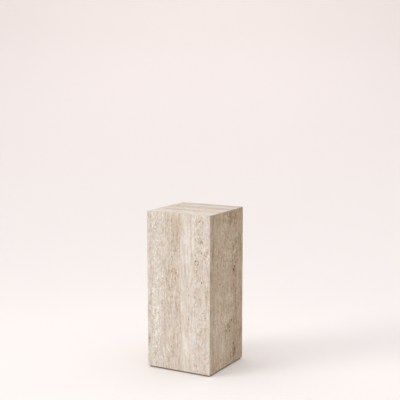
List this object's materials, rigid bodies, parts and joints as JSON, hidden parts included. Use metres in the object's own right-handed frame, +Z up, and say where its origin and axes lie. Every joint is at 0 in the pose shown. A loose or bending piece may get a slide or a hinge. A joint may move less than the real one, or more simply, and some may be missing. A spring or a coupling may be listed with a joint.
{
  "type": "travertine plinth",
  "caption": "Plain square display plinth of mitred travertine slabs round an empty inside, standing on a thin dark set-back base that leaves a shadow line.",
  "frame": {"origin": "centre of the underside, on the ground", "axes": "+Z up the plinth's axis; the front face looks along -Y and the right face along +X"},
  "size_m": [0.34, 0.34, 0.765],
  "materials": {
    "travertine": "matte",
    "base": "matte"
  },
  "bodies": {
    "root": {"top_slab": "travertine", "front_slab": "travertine", "right_slab": "travertine", "back_slab": "travertine", "left_slab": "travertine", "base_plate": "base"}
  },
  "joints": []
}
